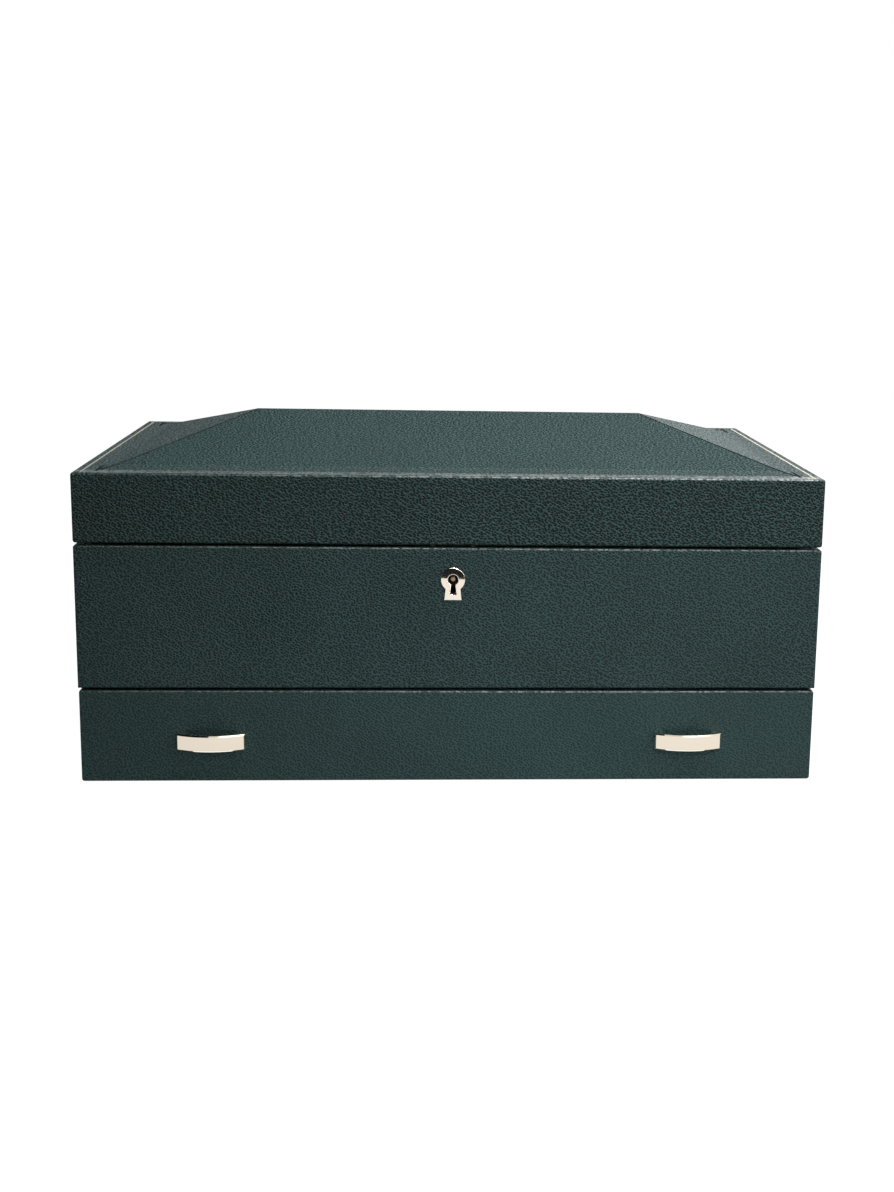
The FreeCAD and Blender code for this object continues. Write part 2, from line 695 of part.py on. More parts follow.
# Rectangle of the gilt line, pressed into the rim from above
def rim_line(depth):
    outer_x = half_width - gilt_inset
    outer_front = front_y + gilt_inset
    outer_back = back_y - gilt_inset
    outer = block(-outer_x, outer_x, outer_front, outer_back, lid_rim_z - depth, lid_rim_z)
    inner = block(-outer_x + gilt_width, outer_x - gilt_width, outer_front + gilt_width,
                  outer_back - gilt_width, lid_rim_z - depth, lid_rim_z)
    return outer.cut(inner)


# Folded lock case with its long top plate and its cap, closed round the bolt
def make_lock():
    body = block(-lock_half_width, lock_half_width, lock_front_y, bay_front_y, lock_bottom_z, case_board_top_z)
    cavity = block(-lock_half_width + lock_plate_thickness, lock_half_width - lock_plate_thickness,
                   lock_cavity_front_y, lock_cavity_back_y, lock_bottom_z + lock_plate_thickness,
                   case_board_top_z)
    cap = block(-lock_cap_half_width, lock_cap_half_width, lock_cavity_back_y, bay_front_y,
                lock_bottom_z - lock_cap_margin, case_board_top_z)
    selvedge = block(-selvedge_half_width, selvedge_half_width, lock_front_y, bay_front_y,
                     case_board_top_z, case_board_top_z + selvedge_thickness)
    slots = [block(x - loop_thickness / 2 - loop_slot_gap, x + loop_thickness / 2 + loop_slot_gap,
                   loop_y - loop_depth / 2 - loop_slot_gap, loop_y + loop_depth / 2 + loop_slot_gap,
                   case_board_top_z, case_board_top_z + selvedge_thickness)
             for x in (-loop_spacing / 2, loop_spacing / 2)]
    keyway = keyway_prism(0, lock_front_y, lock_cavity_front_y)
    shell = joined([body.cut(cavity), cap, selvedge])
    nodes["lock_case"] = shell.cut(slots + [keyway, case_screws])
    pin_front_y = front_y + lock_pin_setback
    nodes["lock_drill_pin"] = rod(lock_pin_radius, Vector(0, pin_front_y, keyhole_z), backward,
                                  lock_cavity_back_y - pin_front_y)

    plate = plate_prism(0, front_y - plate_proud, front_y - plate_proud + plate_thickness)
    front_edges = [edge for edge in plate.Edges if edge.BoundBox.YMax < front_y - plate_proud + 0.001]
    plate = plate.makeFillet(plate_edge_radius, front_edges)
    nodes["keyhole_escutcheon"] = plate.cut(keyway_prism(0, front_y - plate_proud, bay_front_y))


# Sliding bolt: a bar under the loops, with an arm and a finger for each loop
def make_bolt():
    half_loop = loop_thickness / 2
    bar_front_y = lock_cavity_front_y + bolt_gap
    bar_back_y = lock_cavity_back_y - bolt_gap
    arm_half = bolt_arm_depth / 2
    pieces = []
    ends = []
    for x in (-loop_spacing / 2, loop_spacing / 2):
        finger_end = x - half_loop - bolt_gap
        arm_right = finger_end - bolt_travel
        pieces.append(block(arm_right - bolt_arm_width, arm_right, loop_y - arm_half, loop_y + arm_half,
                            bolt_bar_top_z, finger_z + finger_height / 2))
        pieces.append(block(arm_right, finger_end, loop_y - arm_half, loop_y + arm_half,
                            finger_z - finger_height / 2, finger_z + finger_height / 2))
        ends += [arm_right - bolt_arm_width, arm_right]
    bar = block(min(ends), max(ends), bar_front_y, bar_back_y, bolt_bar_bottom_z, bolt_bar_top_z)
    talon_x = (min(ends) + max(ends)) / 2 + talon_offset
    talon = block(talon_x - talon_width / 2, talon_x + talon_width / 2, bar_front_y, bar_back_y,
                  bolt_bar_bottom_z, bolt_bar_bottom_z + talon_depth)
    nodes["lock_bolt"] = joined([bar.cut(talon)] + pieces)


# Strike plate under the front rail of the lid, with the two loops that the bolt goes through
def make_strike():
    plate_bottom_z = lid_board_bottom_z - strike_thickness
    plate = block(-strike_half_width, strike_half_width, front_y + strike_front_inset, front_y + lid_wall,
                  plate_bottom_z, lid_board_bottom_z)
    pieces = [plate]
    windows = []
    half_loop = loop_thickness / 2
    window_half_depth = loop_depth / 2 - loop_wall
    window_half_height = finger_height / 2 + loop_window_gap
    for x in (-loop_spacing / 2, loop_spacing / 2):
        pieces.append(block(x - half_loop, x + half_loop, loop_y - loop_depth / 2, loop_y + loop_depth / 2,
                            loop_bottom_z, plate_bottom_z))
        windows.append(block(x - half_loop, x + half_loop, loop_y - window_half_depth,
                             loop_y + window_half_depth, finger_z - window_half_height,
                             finger_z + window_half_height))
    nodes["lock_strike"] = joined(pieces).cut(windows + [lid_screws])


make_case_boards()
make_case_leather()
make_watch_bay()
make_drawer_slides()
make_drawer()
make_pulls()
make_hinges()
make_lid()
make_lock()
make_bolt()
make_strike()
nodes["case_screws"] = case_screws
nodes["lid_screws"] = lid_screws

os.makedirs("parts", exist_ok=True)
for name, shape in nodes.items():
    shape.exportStep("parts/" + name + ".step")

whole = Part.makeCompound(list(nodes.values())).BoundBox
print("nodes", len(nodes), "solids", sum(len(shape.Solids) for shape in nodes.values()))
print("extent", [round(size, 2) for size in (whole.XMin, whole.XMax, whole.YMin, whole.YMax,
                                             whole.ZMin, whole.ZMax)])
print("front plane", round(front_y, 3), "back plane", round(back_y, 3))
print("hinge axis y, z", round(hinge_y, 3), round(hinge_z, 3))
print("keyhole z", round(keyhole_z, 3), "drawer travel", round(drawer_travel, 3))
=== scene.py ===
import math

import bmesh
import bpy
from mathutils import Matrix, Vector


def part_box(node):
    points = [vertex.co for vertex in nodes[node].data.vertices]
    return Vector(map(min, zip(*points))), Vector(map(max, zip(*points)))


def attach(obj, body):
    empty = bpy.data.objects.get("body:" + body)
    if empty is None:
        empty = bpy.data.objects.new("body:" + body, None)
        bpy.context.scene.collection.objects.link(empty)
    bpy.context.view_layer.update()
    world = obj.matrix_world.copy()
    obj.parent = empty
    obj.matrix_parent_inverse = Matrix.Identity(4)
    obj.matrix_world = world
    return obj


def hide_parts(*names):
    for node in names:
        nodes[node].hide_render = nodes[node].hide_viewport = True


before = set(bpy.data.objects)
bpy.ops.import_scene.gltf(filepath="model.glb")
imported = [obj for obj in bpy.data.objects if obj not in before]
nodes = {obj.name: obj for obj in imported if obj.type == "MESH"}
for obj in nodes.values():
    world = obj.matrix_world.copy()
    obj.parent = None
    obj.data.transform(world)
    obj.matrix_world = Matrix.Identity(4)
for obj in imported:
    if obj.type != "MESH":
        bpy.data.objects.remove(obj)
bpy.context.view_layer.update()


# Object tools

def clearSelection():
    for other in list(bpy.context.selected_objects):
        other.select_set(False)


def takeUp(piece):  # the only selected and active object
    clearSelection()
    piece.select_set(True)
    bpy.context.view_layer.objects.active = piece


def settle(piece):  # its place goes into the mesh, its origin stays at 0
    takeUp(piece)
    bpy.ops.object.transform_apply(location=True, rotation=True, scale=True)


merging = {"distance": 0.000002, "flatAngle": math.radians(0.5)}


def copyNode(nodeName, pieceName):  # merged copy of a CAD node, ready to be worked on
    piece = nodes[nodeName].copy()
    piece.data = nodes[nodeName].data.copy()
    piece.name = pieceName
    piece.data.name = pieceName
    bpy.context.collection.objects.link(piece)
    piece.parent = None
    piece.matrix_world = Matrix.Identity(4)
    takeUp(piece)
    if piece.data.has_custom_normals:
        bpy.ops.mesh.customdata_custom_splitnormals_clear()
    bpy.ops.object.mode_set(mode="EDIT")
    bpy.ops.mesh.select_all(action="SELECT")
    bpy.ops.mesh.remove_doubles(threshold=merging["distance"])
    bpy.ops.mesh.dissolve_limited(angle_limit=merging["flatAngle"])
    bpy.ops.object.mode_set(mode="OBJECT")
    return piece


def applyModifier(piece, kind, **settings):
    modifier = piece.modifiers.new(kind.title(), kind)
    for key, value in settings.items():
        setattr(modifier, key, value)
    takeUp(piece)
    bpy.ops.object.modifier_apply(modifier=modifier.name)


# Shader tools

class Wire:
    def __init__(self, tools, socket):
        self.tools = tools
        self.socket = socket

    def maths(self, operation, first, second):
        return self.tools.add("ShaderNodeMath", {"operation": operation}, {0: first, 1: second})

    def __add__(self, other):
        return self.maths("ADD", self, other)

    def __radd__(self, other):
        return self.maths("ADD", other, self)

    def __sub__(self, other):
        return self.maths("SUBTRACT", self, other)

    def __rsub__(self, other):
        return self.maths("SUBTRACT", other, self)

    def __mul__(self, other):
        return self.maths("MULTIPLY", self, other)

    def __rmul__(self, other):
        return self.maths("MULTIPLY", other, self)

    def __truediv__(self, other):
        return self.maths("DIVIDE", self, other)

    def __abs__(self):
        return self.maths("ABSOLUTE", self, 0.0)


class ShaderTools:  # for the node tree of a material or of the world
    def __init__(self, tree):
        self.tree = tree

    def add(self, kind, settings=None, values=None, out=0):
        node = self.tree.nodes.new(kind)
        for key, value in (settings or {}).items():
            setattr(node, key, value)
        for key, value in (values or {}).items():
            if isinstance(value, Wire):
                self.tree.links.new(value.socket, node.inputs[key])
            else:
                node.inputs[key].default_value = value
        return Wire(self, node.outputs[out])

    def parts(self, vector):  # x, y and z of a vector
        node = self.tree.nodes.new("ShaderNodeSeparateXYZ")
        self.tree.links.new(vector.socket, node.inputs[0])
        return [Wire(self, out) for out in node.outputs]

    def place(self):
        return self.add("ShaderNodeTexCoord", out="Object")

    def facing(self):  # x, y and z of the direction in which the surface faces
        return self.parts(self.add("ShaderNodeTexCoord", out="Normal"))

    def noise(self, place, scale, detail=2.0, roughness=0.5, out=0):
        return self.add("ShaderNodeTexNoise", {},
                        {"Vector": place, "Scale": scale, "Detail": detail, "Roughness": roughness}, out)

    def shifted(self, place, scale, amount):  # place pushed about by a slow noise
        cloud = self.noise(place, scale, out=1)
        centred = self.add("ShaderNodeVectorMath", {"operation": "SUBTRACT"},
                           {0: cloud, 1: (0.5, 0.5, 0.5)})
        push = self.add("ShaderNodeVectorMath", {"operation": "SCALE"}, {0: centred, "Scale": amount})
        return self.add("ShaderNodeVectorMath", {"operation": "ADD"}, {0: place, 1: push})

    def stretched(self, place, factors):
        return self.add("ShaderNodeVectorMath", {"operation": "MULTIPLY"}, {0: place, 1: factors})

    def fitted(self, wire, low, high, newLow=0.0, newHigh=1.0, easing="SMOOTHSTEP"):
        return self.add("ShaderNodeMapRange", {"interpolation_type": easing},
                        {"Value": wire, "From Min": low, "From Max": high,
                         "To Min": newLow, "To Max": newHigh})

    def faded(self, wire, low, high):
        return self.fitted(wire, low, high, 1.0, 0.0)

    def mixed(self, factor, first, second, blend="MIX"):
        return self.add("ShaderNodeMix", {"data_type": "RGBA", "blend_type": blend},
                        {0: factor, 6: first, 7: second}, 2)


class Finish(ShaderTools):
    def __init__(self, name, **fixed):
        self.material = bpy.data.materials.new(name)
        self.material.use_nodes = True
        super().__init__(self.material.node_tree)
        self.shader = self.tree.nodes["Principled BSDF"]
        for key, value in fixed.items():
            self.shader.inputs[key.replace("_", " ")].default_value = value

    def feed(self, name, wire):
        self.tree.links.new(wire.socket, self.shader.inputs[name])

    def bump(self, height, depth):
        self.feed("Normal", self.add("ShaderNodeBump", {}, {"Height": height, "Distance": depth}))


def rgb(red, green, blue):
    return (red, green, blue, 1.0)


# Pebble-grained leather, polished where it rolls over an edge; its pits darker, partly dye settled in the
# grain and partly painted shade

leather = {
    "pitch": 0.00132, "turn": 0.6, "squeeze": 1.2, "uneven": 0.75,
    "drift": 0.0012, "driftScale": 90.0, "aroundCorner": (0.6, 0.8),
    "pitInside": 0.06, "pitEdge": 0.60, "ragged": 0.25, "raggedScale": 1500.0,
    "depth": 0.00034, "wave": 0.8, "waveScale": 60.0,
    "top": rgb(0.0148, 0.0328, 0.0320), "pitDyeAndShade": rgb(0.0022, 0.0058, 0.0055),
    "patchScale": 24.0, "patches": (0.3, 0.7), "patchShades": (0.9, 1.1),
    "roughTop": 0.33, "roughPit": 0.75,
    "rollStart": (0.2, 0.6), "rollEnd": (0.975, 0.995),
    "rimFacing": (0.96, 0.99), "rimBlend": 0.0005, "polishBlend": 0.0002,
    "dashStretch": (1.0, 0.3, 0.1), "dashScale": 900.0, "dashes": (0.43, 0.57), "dashLow": 0.2,
}
hipFoot = {
    "x": 0.155, "y": 0.098, "middle": 0.00145, "run": (0.061, 0.098), "depth": 1.5,
    "width": 0.0013, "hipEdge": (0.5, 1.0),
    "hipStart": (-0.0100, -0.0095), "hipEnd": (0.0003, 0.0010),
    "tuckStart": (-0.018, -0.009), "tuckEnd": (0.0030, 0.0036), "tuckEdge": (0.4, 0.7),
}


def sheetPlace(finish, settings):  # place on the skin: across and up on walls, across and deep on top
    x, y, z = finish.parts(finish.place())
    facing = finish.facing()
    onEnd = finish.fitted(abs(facing[0]), *settings["aroundCorner"])
    onTop = finish.fitted(abs(facing[2]), *settings["aroundCorner"])
    return finish.add("ShaderNodeCombineXYZ", {}, {0: x + onEnd * (y - x), 1: z + onTop * (y - z)})


def creaseMask(finish, settings):  # from each hip joint to the corner of the roof's foot, tucked in there
    x, y = finish.parts(finish.place())[:2]
    outX = abs(x) - settings["x"]
    outY = abs(y - settings["middle"]) - settings["y"]
    runX, runY = settings["run"]
    width = settings["width"]
    away = abs((outX * runY - outY * runX) / math.hypot(runX, runY))
    hip = finish.faded(away, *(share * width for share in settings["hipEdge"]))
    hip = hip * finish.fitted(outX, *settings["hipStart"])
    hip = hip * finish.faded(outX, *settings["hipEnd"])
    tuck = finish.faded(abs(outX), *(share * width for share in settings["tuckEdge"]))
    tuck = tuck * finish.fitted(outY, *settings["tuckStart"])
    tuck = tuck * finish.faded(outY, *settings["tuckEnd"])
    return hip + tuck - hip * tuck


def makeLeather(name, settings, relief=1.0, polishedBelow=1.0, frontRim=None, crease=None):
    finish = Finish(name, Specular_IOR_Level=0.12, IOR=1.45, Coat_Roughness=0.3, Coat_IOR=1.5)
    place = finish.place()
    deep, height = finish.parts(place)[1:]
    upward = finish.facing()[2]
    sheet = sheetPlace(finish, settings)
    drifted = finish.shifted(sheet, settings["driftScale"], settings["drift"])
    turned = finish.add("ShaderNodeMapping", {}, {"Vector": drifted, "Rotation": (0, 0, settings["turn"]),
                                                  "Scale": (1.0, settings["squeeze"], 1.0)})
    pits = finish.add("ShaderNodeTexVoronoi", {"feature": "F1", "voronoi_dimensions": "2D"},
                      {"Vector": turned, "Scale": 1.0 / settings["pitch"],
                       "Randomness": settings["uneven"]})
    ragged = (finish.noise(sheet, settings["raggedScale"], roughness=0.6) - 0.5) * settings["ragged"]
    ground = finish.fitted(pits + ragged, settings["pitInside"], settings["pitEdge"])
    seen = finish.fitted(1.0 - (1.0 - ground) * relief, 0.0, 1.0, easing="LINEAR")
    patches = finish.noise(place, settings["patchScale"], detail=3.0, roughness=0.6)
    shade = finish.fitted(patches, *settings["patches"], *settings["patchShades"], "LINEAR")
    grey = finish.add("ShaderNodeCombineXYZ", {}, {0: shade, 1: shade, 2: shade})
    # pits take the pit colour: partly dye settled in the grain, partly painted shade in the hollows
    shown = finish.mixed(1.0, finish.mixed(seen, settings["pitDyeAndShade"], settings["top"]), grey, "MULTIPLY")
    dull = finish.fitted(ground, 0.0, 1.0, settings["roughPit"], settings["roughTop"])
    raised = ground + finish.noise(place, settings["waveScale"]) * settings["wave"]
    rolled = finish.fitted(upward, *settings["rollStart"])
    rolled = rolled * finish.faded(upward, *settings["rollEnd"])
    if frontRim:
        onRim = finish.faded(deep, frontRim - settings["rimBlend"], frontRim)
        rolled = rolled + onRim * finish.fitted(upward, *settings["rimFacing"])
    polished = rolled * finish.faded(height, polishedBelow - settings["polishBlend"], polishedBelow)
    if crease:
        shadedCrease = creaseMask(finish, crease)
        # painted shade along each hip crease and its tuck into the foot; the bump below dips it for real
        shown = finish.mixed(shadedCrease, shown, settings["pitDyeAndShade"])
        dull = dull + shadedCrease * (1.0 - dull)
        raised = raised - shadedCrease * crease["depth"]
        polished = polished * (1.0 - shadedCrease)
    streaks = finish.stretched(place, settings["dashStretch"])
    dashes = finish.noise(streaks, settings["dashScale"], detail=1.0)
    broken = finish.fitted(dashes, *settings["dashes"], settings["dashLow"], 1.0)
    finish.feed("Base Color", shown)
    finish.feed("Roughness", dull)
    finish.feed("Coat Weight", polished * broken)
    finish.bump(raised, settings["depth"] * relief)
    return finish.material


# Polished metal, its plating very slightly uneven

metal = {"smudgeScale": 260.0, "smudges": (0.35, 0.75), "smudged": 1.8}


def makeMetal(name, colour, roughness, wave=0.00001, waveScale=90.0):
    finish = Finish(name, Metallic=1.0, Base_Color=colour)
    place = finish.place()
    smudge = finish.noise(place, metal["smudgeScale"])
    dullest = roughness * metal["smudged"]
    finish.feed("Roughness", finish.fitted(smudge, *metal["smudges"], roughness, dullest))
    finish.bump(finish.noise(place, waveScale, detail=0.0), wave)
    return finish.material


# Pale gold with a painted highlight on its bevels and ends beside the lapped face, and a painted dark
# reflection on the upper bevel

pullPlating = {
    "face": rgb(0.67, 0.60, 0.50), "bevel": rgb(0.95, 0.91, 0.83), "topBevelShade": rgb(0.11, 0.10, 0.08),
    "sloped": (0.1, 0.4), "ends": (0.55, 0.65), "topStart": (0.3, 0.5), "topEnd": (0.85, 0.95),
    "roughFace": 0.02, "roughCut": 0.03, "wave": 0.00001, "waveScale": 110.0,
}


def makePullGold(name, settings):
    finish = Finish(name, Metallic=1.0)
    facing = finish.facing()
    sloped = finish.fitted(abs(facing[2]), *settings["sloped"])
    ends = finish.fitted(abs(facing[0]), *settings["ends"])
    bevelsAndEnds = finish.fitted(sloped + ends, 0.0, 1.0)
    onTop = finish.fitted(facing[2], *settings["topStart"])
    onTop = onTop * finish.faded(facing[2], *settings["topEnd"])
    # bevels and ends a paler gold, a painted highlight; the upper bevel near black, a painted dark
    # reflection
    bright = finish.mixed(bevelsAndEnds, settings["face"], settings["bevel"])
    finish.feed("Base Color", finish.mixed(onTop, bright, settings["topBevelShade"]))
    finish.feed("Roughness", settings["roughFace"] + settings["roughCut"] * bevelsAndEnds)
    finish.bump(finish.noise(finish.place(), settings["waveScale"], detail=0.0), settings["wave"])
    return finish.material


# Lock metal: bright on the top plate that shows when the lid is up; below it dull and near black, a painted
# shade behind the keyhole

lockWorks = {
    "plateHeight": 0.1065, "blend": 0.0002, "roughWorks": 0.5, "smoother": 0.26,
    "shadedWorks": rgb(0.035, 0.027, 0.018), "plate": rgb(0.75, 0.60, 0.36),
}


def makeLockMetal(name, settings):
    finish = Finish(name, Metallic=1.0)
    height = finish.parts(finish.place())[2]
    bright = finish.fitted(height, settings["plateHeight"] - settings["blend"],
                           settings["plateHeight"] + settings["blend"])
    # below the plate the metal is painted near black: painted shade behind the keyhole
    finish.feed("Base Color", finish.mixed(bright, settings["shadedWorks"], settings["plate"]))
    finish.feed("Roughness", settings["roughWorks"] - bright * settings["smoother"])
    return finish.material


# Gilt line on the rim, its foil worn through in specks

giltFoil = {
    "wearScale": 900.0, "wear": (0.36, 0.52), "worn": rgb(0.30, 0.25, 0.15), "fresh": rgb(0.86, 0.76, 0.56),
    "depth": 0.00003,
}


def makeGilt(name, settings):
    finish = Finish(name, Metallic=1.0, Roughness=0.3)
    wear = finish.noise(finish.place(), settings["wearScale"], detail=3.0, roughness=0.6)
    kept = finish.fitted(wear, *settings["wear"])
    finish.feed("Base Color", finish.mixed(kept, settings["worn"], settings["fresh"]))
    finish.bump(wear, settings["depth"])
    return finish.material


# Short-napped suede with brushed patches

suede = {
    "drift": 0.02, "driftScale": 30.0, "patchScale": 55.0, "patches": (0.38, 0.66), "patchRelief": 0.6,
    "fibreScale": 3200.0, "fibres": (0.3, 0.75), "fibreShade": 0.35, "depth": 0.0001,
}


def makeSuede(name, light, dark):
    finish = Finish(name, Roughness=0.95, Specular_IOR_Level=0.15, Sheen_Weight=0.35, Sheen_Roughness=0.5)
    place = finish.place()
    drifted = finish.shifted(place, suede["driftScale"], suede["drift"])
    brushed = finish.noise(drifted, suede["patchScale"], detail=3.0, roughness=0.55)
    fibre = finish.noise(place, suede["fibreScale"], detail=3.0, roughness=0.65)
    tone = finish.mixed(finish.fitted(brushed, *suede["patches"]), dark, light)
    between = finish.fitted(fibre, *suede["fibres"], 0.0, suede["fibreShade"])
    finish.feed("Base Color", finish.mixed(between, tone, dark))
    finish.bump(fibre + brushed * suede["patchRelief"], suede["depth"])
    return finish.material


# Felt under the base

felt = {
    "colour": (0.03, 0.045, 0.043), "darkest": 0.5, "stretch": (1.0, 1.0, 3.0), "scale": 1500.0,
    "depth": 0.0002,
}


def makeFelt(name, settings):
    finish = Finish(name, Roughness=1.0, Specular_IOR_Level=0.05, Sheen_Weight=0.2)
    stretched = finish.stretched(finish.place(), settings["stretch"])
    fibre = finish.noise(stretched, settings["scale"], detail=5.0, roughness=0.75)
    dark = rgb(*[settings["darkest"] * part for part in settings["colour"]])
    finish.feed("Base Color", finish.mixed(fibre, dark, rgb(*settings["colour"])))
    finish.bump(fibre, settings["depth"])
    return finish.material


# Stained board, its grain along one axis

wood = {
    "across": 26.0, "along": 1.6, "drift": 0.02, "driftScale": 9.0, "fibreScale": 22.0, "finer": 8.0,
    "poreScale": 18.0, "dark": rgb(0.022, 0.017, 0.013), "light": rgb(0.072, 0.058, 0.046),
    "poreColour": rgb(0.012, 0.009, 0.007), "fibres": (0.32, 0.68), "pores": (0.56, 0.70),
    "roughFibres": (0.3, 0.7), "roughness": (0.62, 0.48), "depth": 0.00006,
}


def makeWood(name, along):
    finish = Finish(name, Specular_IOR_Level=0.35)
    place = finish.place()
    factors = [wood["along"] if axis == along else wood["across"] for axis in "xyz"]
    drifted = finish.shifted(place, wood["driftScale"], wood["drift"])
    coarse = finish.stretched(drifted, factors)
    fine = finish.stretched(place, [wood["finer"] * factor for factor in factors])
    fibres = finish.noise(coarse, wood["fibreScale"], detail=5.0, roughness=0.65)
    pores = finish.noise(fine, wood["poreScale"], roughness=0.6)
    tone = finish.mixed(finish.fitted(fibres, *wood["fibres"]), wood["dark"], wood["light"])
    finish.feed("Base Color", finish.mixed(finish.fitted(pores, *wood["pores"]), tone, wood["poreColour"]))
    finish.feed("Roughness", finish.fitted(fibres, *wood["roughFibres"], *wood["roughness"]))
    finish.bump(pores, wood["depth"])
    return finish.material


finishes = {
    "leather": makeLeather("greenLeather", leather),
    # lid walls: deeper bump and stronger painted pit shade, where the top light grazes them
    "lidLeather": makeLeather("greenLeatherDeep", leather, relief=1.6),
    # roof: the same leather with a lighter top colour, painted light where the overhead lamps fall
    "litRoofLeather": makeLeather("greenLeatherRoofLit", {**leather, "top": rgb(0.0205, 0.0525, 0.0520)},
                               relief=1.5, polishedBelow=0.1403, frontRim=-0.0965, crease=hipFoot),
    # drawer front: shallower bump and weaker painted pit shade, where the light falls flatter
    "flatLeather": makeLeather("greenLeatherPressed", leather, relief=0.7),
    # joint faces: the leather with its pit colour all over, painted shade inside the hip joints
    "jointShadeLeather": makeLeather("greenLeatherJointShade", {**leather, "top": leather["pitDyeAndShade"]},
                                 polishedBelow=0.0),
    "gold": makeMetal("paleGold", rgb(0.77, 0.705, 0.60), 0.02, wave=0.00002, waveScale=110.0),
    "pullGold": makePullGold("pullGold", pullPlating),
    # paler gold for the keyhole plate's edges, a painted highlight
    "edgeHighlightGold": makeMetal("paleGoldEdgeHighlight", rgb(0.95, 0.90, 0.82), 0.06),
    "lockMetal": makeLockMetal("lockBrass", lockWorks),
    "gilt": makeGilt("giltFoil", giltFoil),
    "brass": makeMetal("satinBrass", rgb(0.75, 0.60, 0.36), 0.24),
    "darkBrass": makeMetal("agedBrass", rgb(0.30, 0.22, 0.14), 0.35),
    "suede": makeSuede("liningSuede", rgb(0.37, 0.30, 0.225), rgb(0.29, 0.235, 0.175)),
    "pillow": makeSuede("cushionSuede", rgb(0.42, 0.35, 0.27), rgb(0.34, 0.28, 0.215)),
    "felt": makeFelt("baseFelt", felt),
    "woodX": makeWood("boardAcross", "x"),
    "woodY": makeWood("boardDeep", "y"),
}
print("finishes made")


# Which finish each piece gets

def dress(piece, *names):
    shares = [polygon.material_index for polygon in piece.data.polygons]
    piece.data.materials.clear()
    for name in names:
        piece.data.materials.append(finishes[name])
    for polygon, share in zip(piece.data.polygons, shares):
        polygon.material_index = min(share, len(names) - 1)


def recolour(nodeName, finish):
    for holder in nodes[nodeName].material_slots:
        holder.material = finishes[finish]


looks = {
    "leather": ["lid_leather", "case_leather"],
    "flatLeather": ["drawer_front_leather"],
    "lockMetal": ["lock_case"],
    "gold": ["keyhole_escutcheon"],
    "pullGold": ["left_pull", "right_pull"],
    "gilt": ["lid_gilt_line"],
    "brass": ["lock_bolt", "lock_strike", "left_hinge_case_leaf", "right_hinge_case_leaf",
              "left_hinge_lid_leaf", "right_hinge_lid_leaf", "hinge_pins", "case_screws", "lid_screws",
              "pull_screws"],
    "darkBrass": ["lock_drill_pin"],
    "suede": ["bay_liner", "bay_floor_pad", "bay_long_divider", "bay_cross_dividers", "lid_lining_pad",
              "lid_side_lining", "drawer_floor_pad", "drawer_dividers"],
    "pillow": [name for name in nodes if name.startswith("watch_cushion")],
    "felt": ["base_felt"],
    "woodX": ["case_base_board", "case_back_panel", "case_front_panel", "case_shelf", "drawer_stop",
              "lid_front_rail", "lid_back_rail", "lid_roof_board", "drawer_front", "drawer_back",
              "drawer_bottom"],
    "woodY": ["left_case_side", "right_case_side", "left_drawer_runner", "right_drawer_runner",
              "lid_left_rail", "lid_right_rail", "left_drawer_side", "right_drawer_side"],
}
for finish, names in looks.items():
    for name in names:
        recolour(name, finish)
print("nodes dressed")


# Edge tools

sharpAngle = math.radians(40)


def pickEdges(piece, test, sharp=0.0):  # by the places of its ends, and by its angle if sharp is given
    takeUp(piece)
    bpy.ops.object.mode_set(mode="EDIT")
    bpy.ops.mesh.select_mode(type="EDGE")
    bpy.ops.mesh.select_all(action="DESELECT")
    mesh = bmesh.from_edit_mesh(piece.data)
    found = [edge for edge in mesh.edges if test(edge.verts[0].co, edge.verts[1].co)
             and (not sharp or edge.is_manifold and edge.calc_face_angle() > sharp)]
    for edge in found:
        edge.select_set(True)
    bmesh.update_edit_mesh(piece.data)
    return len(found)


def bevelEdges(piece, test, width, steps, sharp=0.0):  # leaves the piece in edit mode
    found = pickEdges(piece, test, sharp)
    bpy.ops.mesh.bevel(offset=width, offset_type="OFFSET", segments=steps, profile=0.5)
    return found


def leaveEdit():
    bpy.ops.object.mode_set(mode="OBJECT")


def roundEdges(piece, test, width, steps):
    bevelEdges(piece, test, width, steps)
    leaveEdit()


def smoothStrips(piece, panelWidth):  # wide panels stay flat, the narrow strips between them are smooth
    mesh = piece.data
    for polygon in mesh.polygons:
        corners = [mesh.vertices[index].co for index in polygon.vertices]
        longest = max((corners[k] - corners[k - 1]).length for k in range(len(corners)))
        polygon.use_smooth = polygon.area / longest < panelWidth


# Lid leather: four panels that meet in a fine joint along each hip, soft at the ridge and the foot

lidCover = {
    "rimHeight": 0.1398, "rimMargin": 0.010, "footWidth": 0.005, "footRise": 0.00075, "footNear": 0.0002,
    "ridgeEnd": 0.094, "ridgeSoft": 0.0007, "footSoft": 0.0018, "rimSoft": 0.0012, "steps": 3,
    "jointWidth": 0.0019, "jointWall": 0.0003, "jointDepth": 0.0009,
    "jointShare": 0.01, "jointRise": 0.01, "jointReach": 0.0005,
    "panelWidth": 0.003, "roofFacing": 0.3, "near": 0.00005,
}


